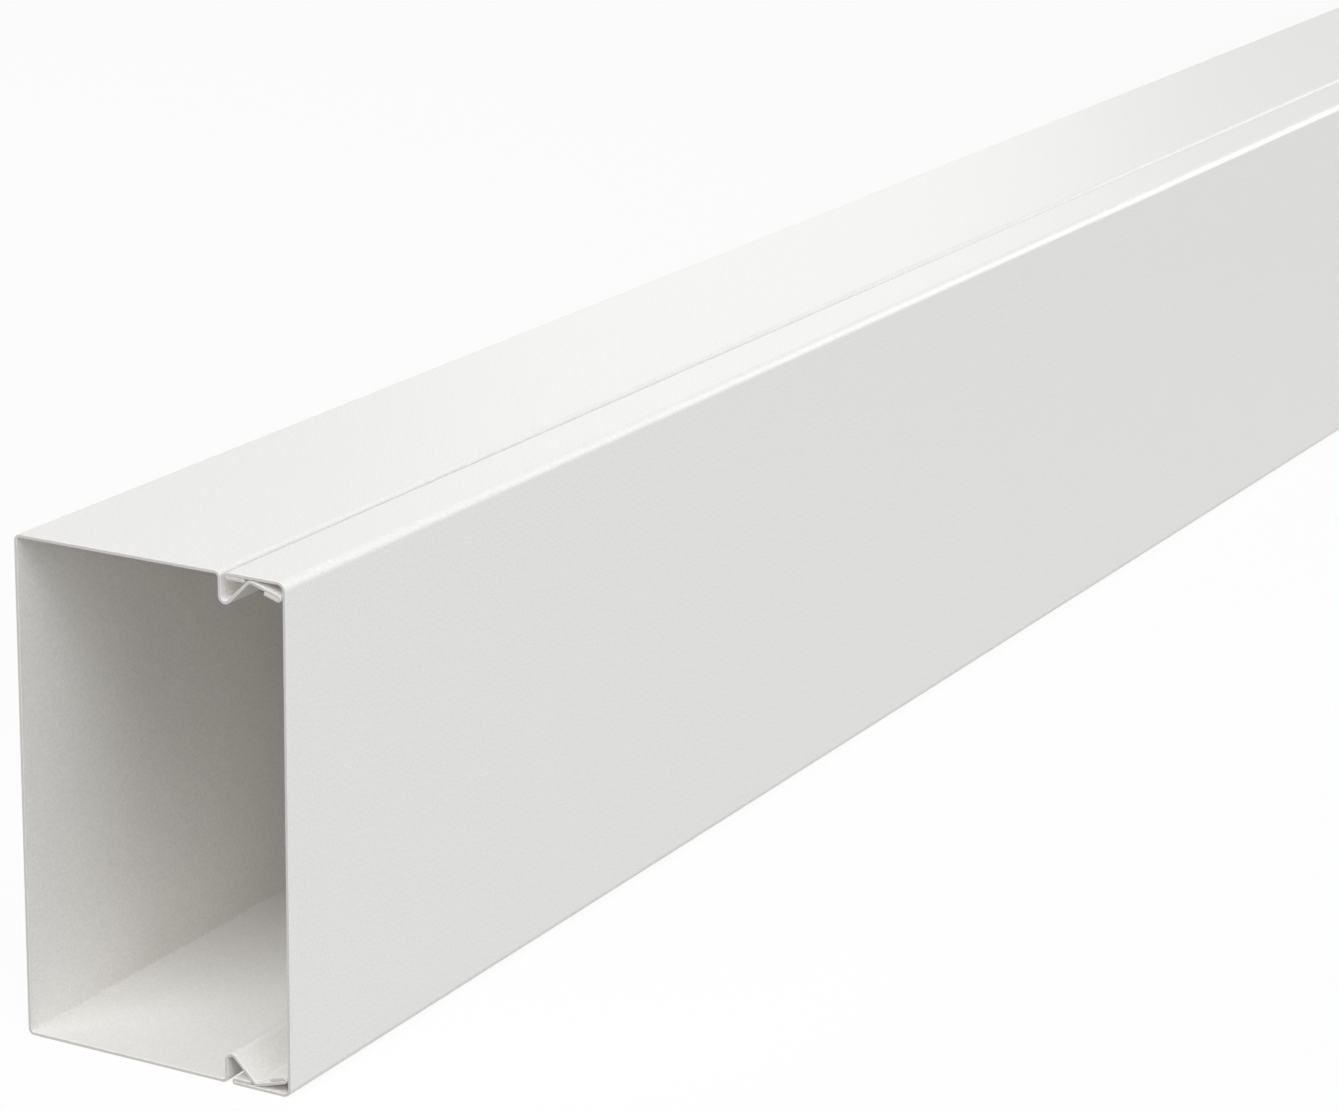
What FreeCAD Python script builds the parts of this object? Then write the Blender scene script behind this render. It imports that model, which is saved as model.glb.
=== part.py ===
import FreeCAD
import Part
import Sketcher

import math
import os

# Sheet-steel cable trunking: a folded base with snap ledges, and a hemmed cover that clips over them.
# The base is a trough whose back goes against the wall (+Y) and whose mouth faces the room (-Y).
# Each lip of the trough is folded into a sprung ledge: inwards, back out at a slope to a rounded peak,
# and inwards again towards the mouth, with its cut edge folded under as a closed hem.
# The cover is a shallow tray, and its two legs end in closed hems that catch behind the peaks.
# Lengths are in millimetres and angles in degrees. X runs along the trunking and Z is up. It stands on
# its narrow side, with the origin under the middle of it.

# Driving dimensions: name, value and what it measures
SIZES = (
    ("trunking_length", 2000.0, "length of the stock"),
    ("trunking_width", 100.0, "outside, across the cover"),
    ("trunking_depth", 60.0, "outside, from the back to the cover's face"),
    ("sheet_thickness", 0.65, "coated steel sheet"),
    ("back_bend_radius", 0.65, "inside radius of the base's square bends"),
    ("ledge_bend_radius", 0.85, "inside radius of the ledge's tip and peak"),
    ("cover_bend_radius", 1.2, "inside radius of the cover's long edges"),
    ("hem_gap", 0.1, "between the two layers of a hem"),
    ("cover_leg", 13.1, "from the cover's face to the end of its leg"),
    ("seam_gap", 0.9, "between the end of the cover's leg and the base"),
    ("ledge_depth", 6.15, "from the outer side to the tip of the ledge"),
    ("ledge_rise", 45.0, "slope of the ledge behind its peak"),
    ("ledge_fall", 17.0, "slope of the ledge in front of its peak"),
    ("ledge_hem", 3.7, "from the ledge's folded edge to its cut edge"),
    ("snap_clearance", 0.15, "between the ledge and the cover that it holds"),
    ("front_clearance", 0.3, "between the ledge's folded edge and the cover's face"),
    ("slot_width", 6.0, "fixing slot in the back"),
    ("slot_length", 20.0, "fixing slot, end to end"),
    ("slot_pitch", 500.0, "from one fixing slot to the next"),
)

HALF_WIDTH = "Sizes.trunking_width / 2"
HALF_DEPTH = "Sizes.trunking_depth / 2"

# Outside radii of the bends
BACK_BEND = "(Sizes.back_bend_radius + Sizes.sheet_thickness)"
LEDGE_BEND = "(Sizes.ledge_bend_radius + Sizes.sheet_thickness)"
COVER_BEND = "(Sizes.cover_bend_radius + Sizes.sheet_thickness)"
HEM_BEND = "(Sizes.hem_gap / 2 + Sizes.sheet_thickness)"

RISE = "(Sizes.ledge_rise * 1 deg)"
FALL = "(Sizes.ledge_fall * 1 deg)"
SLOT_COUNT = "floor(Sizes.trunking_length / Sizes.slot_pitch)"

# Depth of the base's side, from its back to the wall that drops to the ledge
SIDE_DEPTH = "Sizes.trunking_depth - Sizes.cover_leg - Sizes.seam_gap"

# The cover's hem runs from the end of its leg to just short of the ledge's rising face
RISE_HEIGHT = (
    "(Sizes.ledge_depth - 3 * Sizes.sheet_thickness - Sizes.hem_gap"
    f" - Sizes.ledge_bend_radius * (1 - cos({RISE})))"
)
COVER_HEM = (
    f"(Sizes.ledge_bend_radius * (1 + sin({RISE})) - Sizes.seam_gap"
    f" + {RISE_HEIGHT} / tan({RISE}) - Sizes.snap_clearance / sin({RISE}))"
)

doc = FreeCAD.newDocument("CableTrunking")


def make_sizes_sheet():
    sheet = doc.addObject("Spreadsheet::Sheet", "Sizes")
    for row, (name, value, meaning) in enumerate(SIZES, start=1):
        sheet.set(f"A{row}", str(value))
        sheet.setAlias(f"A{row}", name)
        sheet.set(f"B{row}", meaning)
    doc.recompute()
    return sheet


def size(expression):
    return float(sizes_sheet.evalExpression(expression))


def origin_feature(body, role):
    return next(feature for feature in body.Origin.OriginFeatures if feature.Role == role)


def new_body(label):
    body = doc.addObject("PartDesign::Body", label)
    body.Label = label
    body.setExpression("Placement.Base.z", HALF_WIDTH)
    return body


def new_sketch(body, name, plane):
    sketch = body.newObject("Sketcher::SketchObject", name)
    sketch.AttachmentSupport = [(origin_feature(body, plane), "")]
    sketch.MapMode = "FlatFace"
    return sketch


# A named dimension of a sketch, driven by an expression of the sheet's sizes
def bind(sketch, name, expression, kind, *where):
    value = size(expression)
    if kind == "Angle":
        value = math.radians(value)
    index = sketch.addConstraint(Sketcher.Constraint(kind, *where, value))
    sketch.renameConstraint(index, name)
    sketch.setExpression(f"Constraints.{name}", expression)


# Flat runs joined by tangent bends, each given as run, turn and radius. A positive turn is to the left,
# and the last run has none. Only the start of a drawing: the sketch's dimensions then place every run.
def draw_fold_line(sketch, start, heading, folds):
    point = FreeCAD.Vector(*start, 0)
    angle = math.radians(heading)
    runs, bends, joins = [], [], []
    for run, turn, radius in folds:
        ahead = FreeCAD.Vector(math.cos(angle), math.sin(angle), 0)
        end = point + ahead * run
        runs.append(sketch.addGeometry(Part.LineSegment(point, end)))
        if bends:
            joins.append((bends[-1], bend_exit, runs[-1], 1))
        if not turn:
            break
        side = math.copysign(1, turn)
        centre = end + FreeCAD.Vector(-ahead.y, ahead.x, 0) * (radius * side)
        first = angle - side * math.pi / 2
        last = first + math.radians(turn)
        circle = Part.Circle(centre, FreeCAD.Vector(0, 0, 1), radius)
        bends.append(sketch.addGeometry(Part.ArcOfCircle(circle, *sorted((first, last)))))
        bend_entry, bend_exit = (1, 2) if turn > 0 else (2, 1)
        joins.append((runs[-1], 2, bends[-1], bend_entry))
        point = centre + FreeCAD.Vector(math.cos(last), math.sin(last), 0) * radius
        angle += math.radians(turn)
    for join in joins:
        sketch.addConstraint(Sketcher.Constraint("Tangent", *join))
    return runs, bends


# Half of the base's section, along its outer face from the middle of the back to the end of the hem
def draw_base_fold_line(body):
    sketch = new_sketch(body, "BaseFoldLine", "YZ_Plane")
    rise, fall = size("Sizes.ledge_rise"), size("Sizes.ledge_fall")
    back_bend, ledge_bend = size(BACK_BEND), size(LEDGE_BEND)
    drop = size("Sizes.ledge_depth") - back_bend - ledge_bend
    runs, bends = draw_fold_line(sketch, (size(HALF_DEPTH), 0), 90, (
        (size(HALF_WIDTH) - back_bend, 90, back_bend),
        (size(SIDE_DEPTH) - 2 * back_bend, 90, back_bend),
        (drop, -90 - rise, size("Sizes.ledge_bend_radius")),
        (size("Sizes.ledge_depth"), rise + fall, ledge_bend),
        (size("Sizes.cover_leg") / 2, 180, size(HEM_BEND)),
        (size("Sizes.ledge_hem") - size(HEM_BEND), 0, 0),
    ))
    back, side, drop_wall, rising, falling, hem = runs
    back_corner, lip_corner, tip, peak, hem_fold = bends
    for kind, *where in (
        ("Vertical", back),
        ("Horizontal", side),
        ("Vertical", drop_wall),
        ("Parallel", falling, hem),
        ("PointOnObject", back, 1, -1),
        ("Equal", back_corner, lip_corner),
    ):
        sketch.addConstraint(Sketcher.Constraint(kind, *where))
    bind(sketch, "back_place", HALF_DEPTH, "DistanceX", -1, 1, back, 1)
    bind(sketch, "side_place", HALF_WIDTH, "DistanceY", -1, 1, side, 1)
    bind(sketch, "side_depth", SIDE_DEPTH, "DistanceX", drop_wall, 1, back, 1)
    bind(sketch, "tip_drop", f"Sizes.ledge_depth - {LEDGE_BEND}", "DistanceY", tip, 3, side, 1)
    bind(sketch, "peak_drop", f"Sizes.sheet_thickness + Sizes.snap_clearance + {LEDGE_BEND}",
         "DistanceY", peak, 3, side, 1)
    bind(sketch, "hem_place",
         f"Sizes.trunking_depth - Sizes.sheet_thickness - Sizes.front_clearance - {HEM_BEND}",
         "DistanceX", hem_fold, 3, back, 1)
    bind(sketch, "rise_heading", f"180 deg - {RISE}", "Angle", rising)
    bind(sketch, "fall_heading", f"{FALL} - 180 deg", "Angle", falling)
    bind(sketch, "hem_run", f"Sizes.ledge_hem - {HEM_BEND}", "Distance", hem)
    bind(sketch, "back_bend", BACK_BEND, "Radius", back_corner)
    bind(sketch, "tip_bend", "Sizes.ledge_bend_radius", "Radius", tip)
    bind(sketch, "peak_bend", LEDGE_BEND, "Radius", peak)
    bind(sketch, "hem_bend", HEM_BEND, "Radius", hem_fold)
    return sketch


# Half of the cover's section, along its outer face from the middle of the front to the end of the hem
def draw_cover_fold_line(body):
    sketch = new_sketch(body, "CoverFoldLine", "YZ_Plane")
    cover_bend, hem_bend = size(COVER_BEND), size(HEM_BEND)
    runs, bends = draw_fold_line(sketch, (-size(HALF_DEPTH), 0), 90, (
        (size(HALF_WIDTH) - cover_bend, -90, cover_bend),
        (size("Sizes.cover_leg") - cover_bend - hem_bend, -180, hem_bend),
        (size(COVER_HEM) - hem_bend, 0, 0),
    ))
    front, leg, hem = runs
    corner, hem_fold = bends
    for kind, *where in (
        ("Vertical", front),
        ("Horizontal", leg),
        ("Horizontal", hem),
        ("PointOnObject", front, 1, -1),
    ):
        sketch.addConstraint(Sketcher.Constraint(kind, *where))
    bind(sketch, "front_place", HALF_DEPTH, "DistanceX", front, 1, -1, 1)
    bind(sketch, "leg_place", HALF_WIDTH, "DistanceY", -1, 1, leg, 1)
    bind(sketch, "fold_place", f"Sizes.cover_leg - {HEM_BEND}", "DistanceX", front, 1, hem_fold, 3)
    bind(sketch, "hem_run", f"{COVER_HEM} - {HEM_BEND}", "Distance", hem)
    bind(sketch, "cover_bend", COVER_BEND, "Radius", corner)
    bind(sketch, "hem_bend", HEM_BEND, "Radius", hem_fold)
    return sketch


# The fold line gets the sheet's thickness, its length and its other half
def fold_sheet(body, fold_line, thickness):
    section = body.newObject("PartDesign::SubShapeBinder", "Section")
    section.Support = [(fold_line, ("",))]
    section.OffsetFill = True
    section.OffsetOpenResult = True
    section.OffsetJoinType = "Arcs"
    section.setExpression("Offset", thickness)
    doc.recompute()
    half = body.newObject("PartDesign::Pad", "HalfStrip")
    half.Profile = (section, [""])
    half.SideType = "Symmetric"
    half.setExpression("Length", "Sizes.trunking_length")
    doc.recompute()
    whole = body.newObject("PartDesign::Mirrored", "WholeStrip")
    whole.Originals = [half]
    whole.MirrorPlane = (origin_feature(body, "XY_Plane"), [""])
    body.Tip = whole
    doc.recompute()


# A row of fixing slots along the middle of the back, centred on the length
def cut_fixing_slots(body):
    strip_volume = body.Shape.Volume
    sketch = new_sketch(body, "FixingSlot", "XZ_Plane")
    radius = size("Sizes.slot_width") / 2
    straight = size("Sizes.slot_length") - 2 * radius
    first_place = f"({SLOT_COUNT} - 1) * Sizes.slot_pitch / 2"
    start = FreeCAD.Vector(-size(first_place) - straight / 2, -radius, 0)
    runs, ends = draw_fold_line(sketch, (start.x, start.y), 0, (
        (straight, 180, radius),
        (straight, 180, radius),
    ))
    lower, upper = runs
    right_end, left_end = ends
    sketch.addConstraint(Sketcher.Constraint("Tangent", left_end, 2, lower, 1))
    sketch.addConstraint(Sketcher.Constraint("Horizontal", lower))
    sketch.addConstraint(Sketcher.Constraint("PointOnObject", right_end, 3, -1))
    bind(sketch, "slot_end", "Sizes.slot_width / 2", "Radius", right_end)
    bind(sketch, "slot_run", "Sizes.slot_length - Sizes.slot_width", "Distance", lower)
    bind(sketch, "slot_place", f"{first_place} - (Sizes.slot_length - Sizes.slot_width) / 2",
         "DistanceX", right_end, 3, -1, 1)
    slot = body.newObject("PartDesign::Pocket", "FirstSlot")
    slot.Profile = sketch
    slot.Type = "ThroughAll"
    doc.recompute()
    slots = body.newObject("PartDesign::LinearPattern", "SlotRow")
    slots.Originals = [slot]
    slots.Direction = (origin_feature(body, "X_Axis"), [""])
    slots.Mode = "Spacing"
    slots.setExpression("Offset", "Sizes.slot_pitch")
    slots.setExpression("Occurrences", SLOT_COUNT)
    body.Tip = slots
    doc.recompute()
    slot_area = math.pi * radius ** 2 + 2 * radius * straight
    expected = slot_area * size("Sizes.sheet_thickness") * size(SLOT_COUNT)
    if not math.isclose(strip_volume - body.Shape.Volume, expected, rel_tol=1e-3):
        raise ValueError("the fixing slots are not cut through the back")


def make_base():
    body = new_body("trunking_base")
    fold_sheet(body, draw_base_fold_line(body), "-Sizes.sheet_thickness")
    cut_fixing_slots(body)
    return body


def make_cover():
    body = new_body("trunking_cover")
    fold_sheet(body, draw_cover_fold_line(body), "Sizes.sheet_thickness")
    return body


def check_and_write(bodies):
    doc.recompute()
    for feature in doc.Objects:
        if {"Invalid", "Error"} & set(feature.State):
            raise ValueError(f"{feature.Label} failed: {feature.State}")
    for body in bodies:
        if body.Shape.isNull() or not body.Shape.isValid() or len(body.Shape.Solids) != 1:
            raise ValueError(f"{body.Label} is not one valid solid")
    os.makedirs("parts", exist_ok=True)
    for body in bodies:
        body.Shape.exportStep(f"parts/{body.Label}.step")
        print(f"{body.Label}: {body.Shape.Volume:.0f} mm3, {len(body.Shape.Faces)} faces")


sizes_sheet = make_sizes_sheet()
check_and_write((make_base(), make_cover()))
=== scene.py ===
import math

import bpy
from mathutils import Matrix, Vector


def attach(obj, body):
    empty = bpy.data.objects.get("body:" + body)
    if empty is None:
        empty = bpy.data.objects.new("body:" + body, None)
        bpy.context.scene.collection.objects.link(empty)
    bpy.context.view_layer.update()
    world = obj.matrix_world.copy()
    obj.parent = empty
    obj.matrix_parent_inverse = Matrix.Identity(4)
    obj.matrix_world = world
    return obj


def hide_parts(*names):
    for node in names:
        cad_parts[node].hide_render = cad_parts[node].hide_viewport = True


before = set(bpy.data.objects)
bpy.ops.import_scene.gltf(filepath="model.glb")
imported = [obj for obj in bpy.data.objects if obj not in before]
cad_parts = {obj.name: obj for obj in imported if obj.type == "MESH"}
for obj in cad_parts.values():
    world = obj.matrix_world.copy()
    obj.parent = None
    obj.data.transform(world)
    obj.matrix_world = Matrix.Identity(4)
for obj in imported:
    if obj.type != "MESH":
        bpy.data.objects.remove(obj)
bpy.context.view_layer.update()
print("frame loaded:", sorted(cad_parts))

mm = 0.001  # sizes below are in millimetres, and the scene is in metres


# One node with its settings, and its inputs set to values or linked to sockets
def addNode(tree, kind, inputs=None, **settings):
    node = tree.nodes.new(kind)
    for name, value in settings.items():
        setattr(node, name, value)
    for key, value in (inputs or {}).items():
        if isinstance(value, bpy.types.NodeSocket):
            tree.links.new(value, node.inputs[key])
        else:
            node.inputs[key].default_value = value
    return node


# sRGB hex to linear RGBA
def hexColour(text):
    channels = [int(text[i:i + 2], 16) / 255 for i in (1, 3, 5)]
    linear = [c / 12.92 if c <= 0.04045 else ((c + 0.055) / 1.055) ** 2.4 for c in channels]
    return (*linear, 1.0)


# Powder-coated steel: sprayed powder, baked on to a satin white skin with a faint speckle and orange peel
powderCoat = {
    "colour": "#fefcf9",
    "grainColour": "#eae8e5",
    "grainSize": 0.5,  # grains of powder that melted together, drawn coarser than real so that they show
    "grainDetail": 2.0,
    "grainRoughness": 0.6,
    "speckleRange": (0.2, 0.8),  # the noise's values that give the plain colour and the grain colour
    "peelSize": 1.6,  # waves of the orange peel
    "peelDetail": 1.5,
    "peelHeight": 0.012,
    "roughness": 0.36,
    "ior": 1.5,
}


def makePowderCoat():
    material = bpy.data.materials.new("white_powder_coated_steel")
    material.use_nodes = True
    tree = material.node_tree
    shader = tree.nodes["Principled BSDF"]
    place = addNode(tree, "ShaderNodeTexCoord").outputs["Object"]
    grain = addNode(tree, "ShaderNodeTexNoise", {
        "Vector": place,
        "Scale": 1 / (powderCoat["grainSize"] * mm),
        "Detail": powderCoat["grainDetail"],
        "Roughness": powderCoat["grainRoughness"]})
    plain, full = powderCoat["speckleRange"]
    speckle = addNode(tree, "ShaderNodeMapRange", {
        "Value": grain.outputs["Fac"], "From Min": plain, "From Max": full})
    tint = addNode(tree, "ShaderNodeMixRGB", {
        "Fac": speckle.outputs["Result"],
        "Color1": hexColour(powderCoat["colour"]),
        "Color2": hexColour(powderCoat["grainColour"])})
    peel = addNode(tree, "ShaderNodeTexNoise", {
        "Vector": place,
        "Scale": 1 / (powderCoat["peelSize"] * mm),
        "Detail": powderCoat["peelDetail"]})
    bump = addNode(tree, "ShaderNodeBump", {
        "Height": peel.outputs["Fac"], "Strength": 1.0, "Distance": powderCoat["peelHeight"] * mm})
    tree.links.new(tint.outputs[0], shader.inputs["Base Color"])
    tree.links.new(bump.outputs["Normal"], shader.inputs["Normal"])
    shader.inputs["Roughness"].default_value = powderCoat["roughness"]
    shader.inputs["IOR"].default_value = powderCoat["ior"]
    return material


# Bare steel: the strip is sheared to length, and the cut leaves a dull grey edge with torn marks. The grey
# is partly painted shade: its tone stands in for the shade that falls on the end faces
bareSteelAndShade = {
    "colour": "#c9c8c6",
    "tornColour": "#b6b5b3",
    "tearSize": 0.2,
    "tearDetail": 2.0,
    "tearDepth": 0.01,
    "roughness": 0.45,
}


def makeBareSteelAndShade():
    material = bpy.data.materials.new("bare_steel_with_painted_shade")
    material.use_nodes = True
    tree = material.node_tree
    shader = tree.nodes["Principled BSDF"]
    place = addNode(tree, "ShaderNodeTexCoord").outputs["Object"]
    tears = addNode(tree, "ShaderNodeTexNoise", {
        "Vector": place,
        "Scale": 1 / (bareSteelAndShade["tearSize"] * mm),
        "Detail": bareSteelAndShade["tearDetail"]})
    tint = addNode(tree, "ShaderNodeMixRGB", {
        "Fac": tears.outputs["Fac"],
        "Color1": hexColour(bareSteelAndShade["colour"]),
        "Color2": hexColour(bareSteelAndShade["tornColour"])})
    bump = addNode(tree, "ShaderNodeBump", {
        "Height": tears.outputs["Fac"], "Strength": 1.0, "Distance": bareSteelAndShade["tearDepth"] * mm})
    tree.links.new(tint.outputs[0], shader.inputs["Base Color"])
    tree.links.new(bump.outputs["Normal"], shader.inputs["Normal"])
    shader.inputs["Metallic"].default_value = 1.0
    shader.inputs["Roughness"].default_value = bareSteelAndShade["roughness"]
    return material


# Both strips are folded from the same sheet, and their hems and ledges are made to catch each other
sheet = {
    "thickness": 0.65,
    "cutEdgeRadius": 0.12,
    "cutEdgeSteps": 3,
    "bareAndShadedEdge": 0.03,  # how far the grey of the sheared ends, bare steel and painted shade, reaches round to the faces
    "hemGap": 0.1,
    "bendSteps": 16,
}
trunking = {
    "length": 2000.0,
    "width": 100.0,
    "depth": 60.0,
    "coverLeg": 13.1,
    "seamGap": 0.9,
    "ledgeDepth": 6.15,
    "ledgeRise": 45.0,
    "ledgeRadius": 0.85,
    "snapClearance": 0.15,
}
hemRadius = (sheet["hemGap"] + sheet["thickness"]) / 2  # of the sheet's middle


# The base: back, two sides, and at each lip a ledge with a hem
basePiece = {
    "backRadius": 0.65,
    "ledgeFall": 17.0,
    "ledgeHem": 3.7,
    "frontClearance": 0.3,
    "slotCount": 4,
    "slotPitch": 500.0,
    "slotWidth": 6.0,
    "slotLength": 20.0,
    "slotEndSteps": 12,
    "slotEndShare": 0.4999,  # just under half the width, so that an end's two corners don't meet in a point
    "slotWeld": 0.001,
    "punchDepth": 4,  # in thicknesses of the sheet, so that it goes well through the back
}


# Corners of its folds in the sheet's middle, as (y, z, bend radius), from the back's middle upwards
def baseCorners():
    half = sheet["thickness"] / 2
    rise, fall = math.radians(trunking["ledgeRise"]), math.radians(basePiece["ledgeFall"])
    backRadius = basePiece["backRadius"] + half
    ledgeRadius = trunking["ledgeRadius"] + half
    back = trunking["depth"] / 2 - half
    top = trunking["width"] / 2 - half
    wall = -trunking["depth"] / 2 + trunking["coverLeg"] + trunking["seamGap"] + half
    upSlope = Vector((-math.cos(rise), math.sin(rise)))
    downSlope = Vector((-math.cos(fall), -math.sin(fall)))
    underSlope = Vector((math.sin(fall), -math.cos(fall)))
    # tip of the ledge, below the centre of its bend
    tipCentre = top + half - trunking["ledgeDepth"] + ledgeRadius + half
    tip = Vector((wall, tipCentre - ledgeRadius * math.tan((math.pi / 2 + rise) / 2)))
    # peak of the ledge, just under the cover's leg
    peakCentre = top - half - trunking["snapClearance"] - ledgeRadius - half
    climb = (peakCentre - tip.y + ledgeRadius * math.cos(rise)) / math.sin(rise)
    peak = tip + upSlope * (climb + ledgeRadius * math.tan((rise + fall) / 2))
    # hem, folded under just behind the cover's face
    front = -trunking["depth"] / 2 + sheet["thickness"] + basePiece["frontClearance"]
    foldCentre = front + hemRadius + half
    run = (peak.x + hemRadius * underSlope.x - foldCentre) / math.cos(fall)
    fold = peak + downSlope * (run + hemRadius)
    under = fold + underSlope * 2 * hemRadius
    end = under - downSlope * (basePiece["ledgeHem"] - half)
    return [
        (back, top, backRadius),
        (wall, top, backRadius),
        (*tip, ledgeRadius),
        (*peak, ledgeRadius),
        (*fold, hemRadius),
        (*under, hemRadius),
        (*end, 0.0),
    ]


# The cover: front, and two legs that end in hems
coverPiece = {
    "frontRadius": 1.2,
}


# Corners of its folds in the sheet's middle, as for the base, from the front's middle upwards
def coverCorners():
    half = sheet["thickness"] / 2
    rise = math.radians(trunking["ledgeRise"])
    radius = trunking["ledgeRadius"]
    front = -trunking["depth"] / 2 + half
    top = trunking["width"] / 2 - half
    foldEnd = -trunking["depth"] / 2 + trunking["coverLeg"] - half
    # the hem stops just short of the ledge's rising slope
    riseHeight = (trunking["ledgeDepth"] - 3 * sheet["thickness"] - sheet["hemGap"]
                  - radius * (1 - math.cos(rise)))
    hem = (radius * (1 + math.sin(rise)) - trunking["seamGap"]
           + riseHeight / math.tan(rise) - trunking["snapClearance"] / math.sin(rise))
    return [
        (front, top, coverPiece["frontRadius"] + half),
        (foldEnd, top, hemRadius),
        (foldEnd, top - 2 * hemRadius, hemRadius),
        (foldEnd + half - hem, top - 2 * hemRadius, 0.0),
    ]


# A mesh line through the corners of both halves, which the node tree below turns into a bent strip
def makeFoldLine(name, corners):
    centre = trunking["width"] / 2
    line = [(y, centre + z, r) for y, z, r in reversed(corners)]
    line += [(y, centre - z, r) for y, z, r in corners]
    mesh = bpy.data.meshes.new(name)
    mesh.from_pydata([(0, y * mm, z * mm) for y, z, r in line],
                     [(i, i + 1) for i in range(len(line) - 1)], [])
    bendRadius = mesh.attributes.new("bendRadius", "FLOAT", "POINT")
    bendRadius.data.foreach_set("value", [r * mm for y, z, r in line])
    piece = bpy.data.objects.new(name, mesh)
    bpy.context.scene.collection.objects.link(piece)
    return piece


def newTree(name, inputs):
    tree = bpy.data.node_groups.new(name, "GeometryNodeTree")
    for label, kind in {"Geometry": "Geometry", **inputs}.items():
        tree.interface.new_socket(label, in_out="INPUT", socket_type="NodeSocket" + kind)
    tree.interface.new_socket("Geometry", in_out="OUTPUT", socket_type="NodeSocketGeometry")
    return tree, addNode(tree, "NodeGroupInput").outputs


# The end of every tree: one real mesh, coated all over but for the two sheared ends, which are grey bare
# steel with painted shade
def coatStrip(tree, geometry, given):
    whole = addNode(tree, "GeometryNodeRealizeInstances", {"Geometry": geometry})
    coated = addNode(tree, "GeometryNodeSetMaterial", {
        "Geometry": whole.outputs["Geometry"], "Material": given["Coating"]})
    place = addNode(tree, "GeometryNodeInputPosition")
    along = addNode(tree, "ShaderNodeSeparateXYZ", {"Vector": place.outputs["Position"]})
    fromMiddle = addNode(tree, "ShaderNodeMath", {0: along.outputs["X"]}, operation="ABSOLUTE")
    endsAt = addNode(tree, "ShaderNodeMath", {
        0: given["Length"], 1: 0.5, 2: -sheet["bareAndShadedEdge"] * mm}, operation="MULTIPLY_ADD")
    sheared = addNode(tree, "ShaderNodeMath", {
        0: fromMiddle.outputs[0], 1: endsAt.outputs[0]}, operation="GREATER_THAN")
    # the sheared ends get the grey of bare steel, which also stands in for their shade (painted shade)
    bare = addNode(tree, "GeometryNodeSetMaterial", {
        "Geometry": coated.outputs["Geometry"],
        "Selection": sheared.outputs[0],
        "Material": given["Bare and shaded ends"]})
    addNode(tree, "NodeGroupOutput", {"Geometry": bare.outputs["Geometry"]})


# Rounds the fold line's corners and sweeps the sheet's rounded cross-cut along it
def makeBentStripTree():
    tree, given = newTree("bentStrip", {
        "Length": "Float", "Thickness": "Float", "Cut edge radius": "Float", "Bend steps": "Int",
        "Coating": "Material", "Bare and shaded ends": "Material"})
    foldLine = addNode(tree, "GeometryNodeMeshToCurve", {"Mesh": given["Geometry"]})
    bendRadius = addNode(tree, "GeometryNodeInputNamedAttribute", {"Name": "bendRadius"}, data_type="FLOAT")
    bends = addNode(tree, "GeometryNodeFilletCurve", {
        "Curve": foldLine.outputs["Curve"],
        "Radius": bendRadius.outputs["Attribute"],
        "Count": given["Bend steps"],
        "Limit Radius": True}, mode="POLY")
    level = addNode(tree, "GeometryNodeSetCurveNormal", {
        "Curve": bends.outputs["Curve"], "Normal": (1, 0, 0)}, mode="FREE")
    crossCut = addNode(tree, "GeometryNodeCurvePrimitiveQuadrilateral", {
        "Width": given["Length"], "Height": given["Thickness"]}, mode="RECTANGLE")
    rounded = addNode(tree, "GeometryNodeFilletCurve", {
        "Curve": crossCut.outputs["Curve"],
        "Radius": given["Cut edge radius"],
        "Count": sheet["cutEdgeSteps"],
        "Limit Radius": True}, mode="POLY")
    strip = addNode(tree, "GeometryNodeCurveToMesh", {
        "Curve": level.outputs["Curve"], "Profile Curve": rounded.outputs["Curve"], "Fill Caps": True})
    flat = addNode(tree, "GeometryNodeSetShadeSmooth", {
        "Geometry": strip.outputs["Mesh"], "Shade Smooth": False})
    coatStrip(tree, flat.outputs["Geometry"], given)
    return tree


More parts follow.
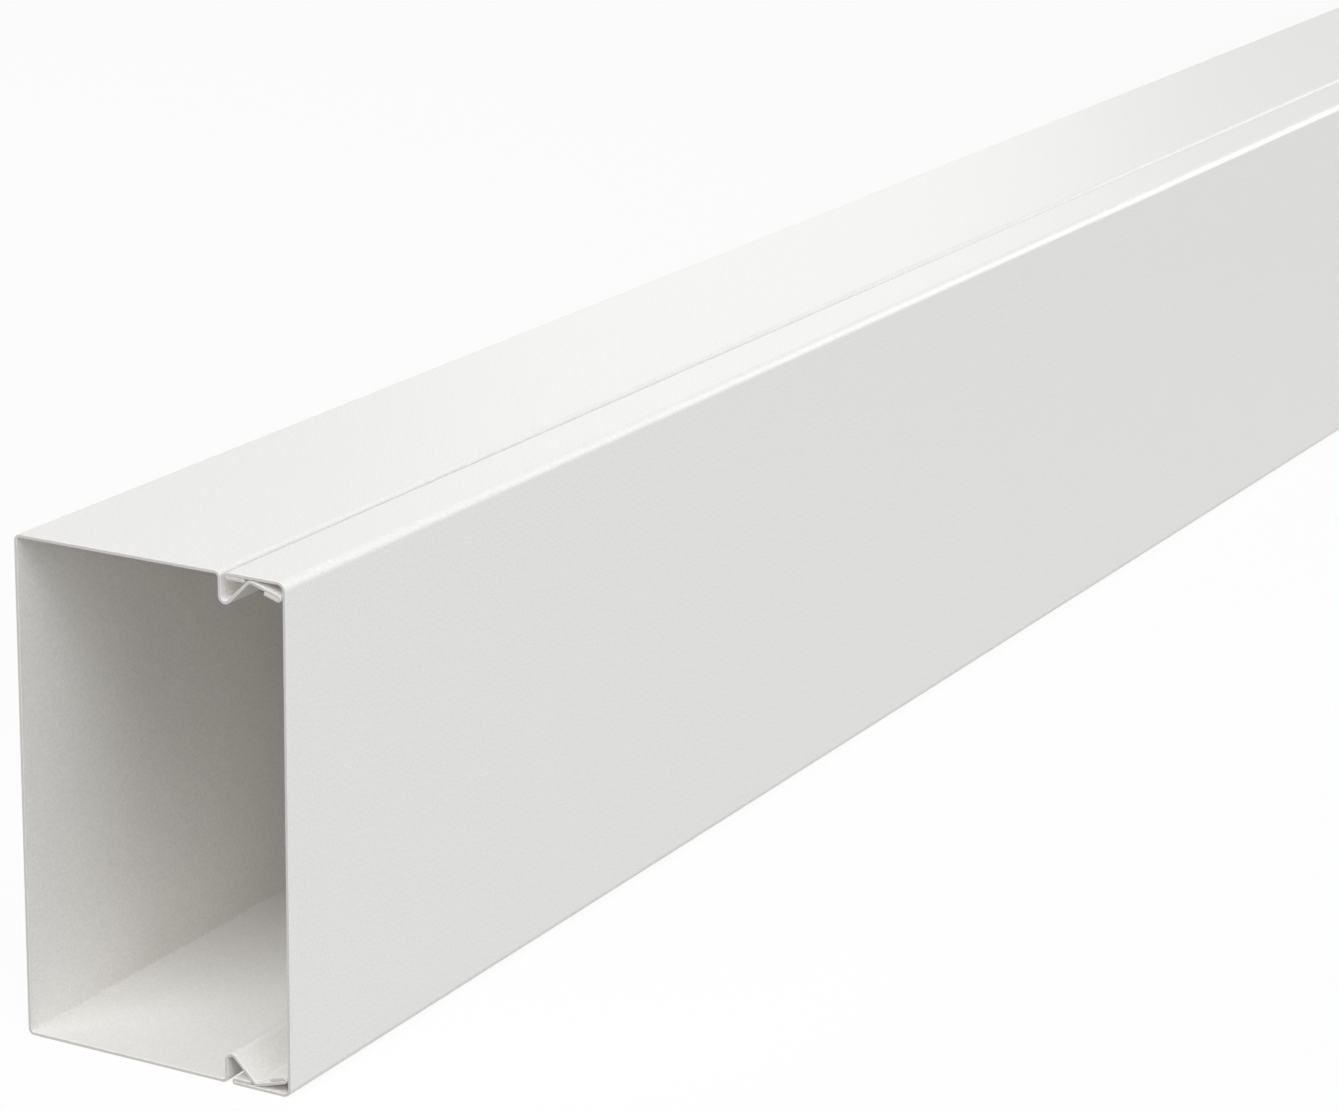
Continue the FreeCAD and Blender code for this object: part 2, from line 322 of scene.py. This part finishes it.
# Cuts a row of slots through the back, centred on the length
def makeSlotRowTree():
    tree, given = newTree("slotRow", {
        "Length": "Float", "Count": "Int", "Pitch": "Float", "Slot width": "Float", "Slot length": "Float",
        "Back": "Float", "Height": "Float", "Cut depth": "Float",
        "Coating": "Material", "Bare and shaded ends": "Material"})
    span = addNode(tree, "ShaderNodeMath", {0: given["Count"], 1: 1.0}, operation="SUBTRACT")
    start = addNode(tree, "ShaderNodeMath", {0: span.outputs[0], 1: given["Pitch"]}, operation="MULTIPLY")
    firstX = addNode(tree, "ShaderNodeMath", {0: start.outputs[0], 1: -0.5}, operation="MULTIPLY")
    firstPlace = addNode(tree, "ShaderNodeCombineXYZ", {
        "X": firstX.outputs[0], "Y": given["Back"], "Z": given["Height"]})
    step = addNode(tree, "ShaderNodeCombineXYZ", {"X": given["Pitch"]})
    places = addNode(tree, "GeometryNodeMeshLine", {
        "Count": given["Count"], "Start Location": firstPlace.outputs[0], "Offset": step.outputs[0]},
        mode="OFFSET", count_mode="TOTAL")
    outline = addNode(tree, "GeometryNodeCurvePrimitiveQuadrilateral", {
        "Width": given["Slot length"], "Height": given["Slot width"]}, mode="RECTANGLE")
    endRadius = addNode(tree, "ShaderNodeMath", {
        0: given["Slot width"], 1: basePiece["slotEndShare"]}, operation="MULTIPLY")
    slot = addNode(tree, "GeometryNodeFilletCurve", {
        "Curve": outline.outputs["Curve"],
        "Radius": endRadius.outputs[0],
        "Count": basePiece["slotEndSteps"],
        "Limit Radius": True}, mode="POLY")
    face = addNode(tree, "GeometryNodeFillCurve", {"Curve": slot.outputs["Curve"]}, mode="NGONS")
    lowered = addNode(tree, "ShaderNodeMath", {0: given["Cut depth"], 1: -0.5}, operation="MULTIPLY")
    drop = addNode(tree, "ShaderNodeCombineXYZ", {"Z": lowered.outputs[0]})
    sunk = addNode(tree, "GeometryNodeTransform", {
        "Geometry": face.outputs["Mesh"], "Translation": drop.outputs[0]})
    punch = addNode(tree, "GeometryNodeExtrudeMesh", {
        "Mesh": sunk.outputs["Geometry"],
        "Offset Scale": given["Cut depth"],
        "Individual": False}, mode="FACES")
    foot = addNode(tree, "GeometryNodeFlipFaces", {"Mesh": sunk.outputs["Geometry"]})
    closed = addNode(tree, "GeometryNodeJoinGeometry", {"Geometry": punch.outputs["Mesh"]})
    tree.links.new(foot.outputs["Mesh"], closed.inputs["Geometry"])
    welded = addNode(tree, "GeometryNodeMergeByDistance", {
        "Geometry": closed.outputs["Geometry"], "Distance": basePiece["slotWeld"] * mm})
    punches = addNode(tree, "GeometryNodeInstanceOnPoints", {
        "Points": places.outputs["Mesh"],
        "Instance": welded.outputs["Geometry"],
        "Rotation": (math.pi / 2, 0, 0)})
    row = addNode(tree, "GeometryNodeRealizeInstances", {"Geometry": punches.outputs["Instances"]})
    cut = addNode(tree, "GeometryNodeMeshBoolean", {
        "Mesh 1": given["Geometry"], "Mesh 2": row.outputs["Geometry"]},
        operation="DIFFERENCE", solver="EXACT")
    coatStrip(tree, cut.outputs["Mesh"], given)
    return tree


def addTree(piece, tree, values):
    modifier = piece.modifiers.new(tree.name, "NODES")
    modifier.node_group = tree
    for socket in tree.interface.items_tree:
        if socket.in_out == "INPUT" and socket.name in values:
            modifier[socket.identifier] = values[socket.name]


# The evaluated result becomes the piece's plain mesh
def settle(piece):
    evaluated = piece.evaluated_get(bpy.context.evaluated_depsgraph_get())
    made = bpy.data.meshes.new_from_object(evaluated)
    piece.modifiers.clear()
    piece.data = made
    made.name = piece.name
    print(piece.name, "faces:", len(made.polygons))


coating = makePowderCoat()
bareAndShadedEnds = makeBareSteelAndShade()
bentStrip = makeBentStripTree()
slotRow = makeSlotRowTree()
print("materials and node trees made")
stripSizes = {
    "Length": trunking["length"] * mm,
    "Thickness": sheet["thickness"] * mm,
    "Cut edge radius": sheet["cutEdgeRadius"] * mm,
    "Bend steps": sheet["bendSteps"],
    "Coating": coating,
    "Bare and shaded ends": bareAndShadedEnds,
}

baseStrip = makeFoldLine("base_strip", baseCorners())
addTree(baseStrip, bentStrip, stripSizes)
addTree(baseStrip, slotRow, {
    "Length": trunking["length"] * mm,
    "Count": basePiece["slotCount"],
    "Pitch": basePiece["slotPitch"] * mm,
    "Slot width": basePiece["slotWidth"] * mm,
    "Slot length": basePiece["slotLength"] * mm,
    "Back": trunking["depth"] / 2 * mm,
    "Height": trunking["width"] / 2 * mm,
    "Cut depth": basePiece["punchDepth"] * sheet["thickness"] * mm,
    "Coating": coating,
    "Bare and shaded ends": bareAndShadedEnds,
})
settle(baseStrip)
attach(baseStrip, "base")
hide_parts("trunking_base")

coverStrip = makeFoldLine("cover_strip", coverCorners())
addTree(coverStrip, bentStrip, stripSizes)
settle(coverStrip)
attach(coverStrip, "cover")
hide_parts("trunking_cover")

# Camera as fitted to the straight edges of the section
cameraView = {
    "place": (-1618.3, -441.8, 328.4),
    "turn": (73.2825, -0.8421, -61.3799),
    "lens": 116.48,
    "sensorWidth": 36.0,
    "clip": (10.0, 100000.0),
}
cameraData = bpy.data.cameras.new("camera")
cameraData.sensor_width = cameraView["sensorWidth"]
cameraData.lens = cameraView["lens"]
cameraData.clip_start, cameraData.clip_end = (c * mm for c in cameraView["clip"])
camera = bpy.data.objects.new("camera", cameraData)
camera.location = Vector(cameraView["place"]) * mm
camera.rotation_euler = [math.radians(a) for a in cameraView["turn"]]
bpy.context.scene.collection.objects.link(camera)
bpy.context.scene.camera = camera
print("camera placed, lens:", cameraView["lens"])

# Studio: a floor and surroundings that look white, and soft lamps
studio = {
    "floorSize": 60000.0,
    "floorColour": "#ffffff",
    "floorBounce": "#9a9a9a",  # what the floor throws back at the trunking
    "floorGlow": 0.9,  # share of plain white in the floor as it is seen, the rest takes the shadow
    "roomStrength": 0.12,  # even light from all around
    "lampColour": "#fcfeff",  # very slightly cool
    "lightBounces": 12,  # the white inside is lit by light that has bounced many times
}
shownStretch = (-800.0, 0.0, trunking["width"] / 2)  # the part that the camera looks at
farEnd = (trunking["length"] / 2, 0.0, trunking["width"] / 2)
middle = (0.0, 0.0, trunking["width"] / 2)
sheenSpot = (-735.0, 10.0, trunking["width"])  # the part of the top with a soft sheen
lamps = {  # azimuth from +X towards +Y, as seen from the aim, and power in watts
    "keyLamp": {"aim": shownStretch, "azimuth": 181, "elevation": 37, "distance": 4000,
                "size": (4200, 2400), "power": 64},
    "cornerLamp": {"aim": shownStretch, "azimuth": 215, "elevation": 55, "distance": 4000,
                   "size": (2000, 2000), "power": 50},
    "rearLamp": {"aim": shownStretch, "azimuth": 158, "elevation": 46, "distance": 4000,
                 "size": (2000, 2000), "power": 26},
    "frontLamp": {"aim": shownStretch, "azimuth": 267, "elevation": 16, "distance": 4000,
                  "size": (5000, 2300), "power": 83.5},
    "backLamp": {"aim": middle, "azimuth": 90, "elevation": 5, "distance": 5000,
                 "size": (4000, 2500), "power": 110},
    "farEndLamp": {"aim": farEnd, "azimuth": 340, "elevation": 12, "distance": 5000,
                   "size": (3000, 2500), "power": 85},
    "sheenLamp": {"aim": sheenSpot, "azimuth": 27.4, "elevation": 12.6, "distance": 4000,
                  "size": (800, 350), "power": 2.4},
}


# How far a ray is one that shows the background: seen by the camera, in a reflection or through glass
def backgroundShare(tree):
    rays = addNode(tree, "ShaderNodeLightPath").outputs
    seen = addNode(tree, "ShaderNodeMath", {
        0: rays["Is Camera Ray"], 1: rays["Is Glossy Ray"]}, operation="MAXIMUM")
    return addNode(tree, "ShaderNodeMath", {
        0: seen.outputs[0], 1: rays["Is Transmission Ray"]}, operation="MAXIMUM").outputs[0]


def makeFloor():
    side = studio["floorSize"] * mm / 2
    corners = [(-side, -side, 0), (side, -side, 0), (side, side, 0), (-side, side, 0)]
    mesh = bpy.data.meshes.new("studio_floor")
    mesh.from_pydata(corners, [], [(0, 1, 2, 3)])
    floor = bpy.data.objects.new("studio_floor", mesh)
    bpy.context.scene.collection.objects.link(floor)
    material = bpy.data.materials.new("white_studio_paper")
    material.use_nodes = True
    tree = material.node_tree
    tree.nodes.clear()
    seen = backgroundShare(tree)
    tone = addNode(tree, "ShaderNodeMixRGB", {
        "Fac": seen,
        "Color1": hexColour(studio["floorBounce"]),
        "Color2": hexColour(studio["floorColour"])})
    paper = addNode(tree, "ShaderNodeBsdfDiffuse", {"Color": tone.outputs[0]})
    glow = addNode(tree, "ShaderNodeEmission", {"Strength": 1.0})
    share = addNode(tree, "ShaderNodeMath", {0: seen, 1: studio["floorGlow"]}, operation="MULTIPLY")
    mix = addNode(tree, "ShaderNodeMixShader", {
        "Fac": share.outputs[0], 1: paper.outputs[0], 2: glow.outputs[0]})
    addNode(tree, "ShaderNodeOutputMaterial", {"Surface": mix.outputs[0]})
    mesh.materials.append(material)


def makeWorld():
    world = bpy.data.worlds.new("studio")
    bpy.context.scene.world = world
    world.use_nodes = True
    tree = world.node_tree
    tree.nodes.clear()
    white = (1.0, 1.0, 1.0, 1.0)
    room = addNode(tree, "ShaderNodeBackground", {"Color": white, "Strength": studio["roomStrength"]})
    backdrop = addNode(tree, "ShaderNodeBackground", {"Color": white, "Strength": 1.0})
    mix = addNode(tree, "ShaderNodeMixShader", {
        "Fac": backgroundShare(tree), 1: room.outputs[0], 2: backdrop.outputs[0]})
    addNode(tree, "ShaderNodeOutputWorld", {"Surface": mix.outputs[0]})


def addLamp(name, lamp):
    around, up = math.radians(lamp["azimuth"]), math.radians(lamp["elevation"])
    outward = Vector((math.cos(up) * math.cos(around), math.cos(up) * math.sin(around), math.sin(up)))
    data = bpy.data.lights.new(name, "AREA")
    data.shape = "RECTANGLE"
    data.size, data.size_y = (s * mm for s in lamp["size"])
    data.energy = lamp["power"]
    data.color = hexColour(studio["lampColour"])[:3]
    light = bpy.data.objects.new(name, data)
    light.location = (Vector(lamp["aim"]) + outward * lamp["distance"]) * mm
    light.rotation_euler = (-outward).to_track_quat("-Z", "Y").to_euler()
    light.visible_camera = False
    bpy.context.scene.collection.objects.link(light)


makeFloor()
makeWorld()
for name, lamp in lamps.items():
    addLamp(name, lamp)
bpy.context.scene.cycles.diffuse_bounces = studio["lightBounces"]
bpy.context.scene.view_settings.view_transform = "Standard"
print("studio ready, lamps:", len(lamps))
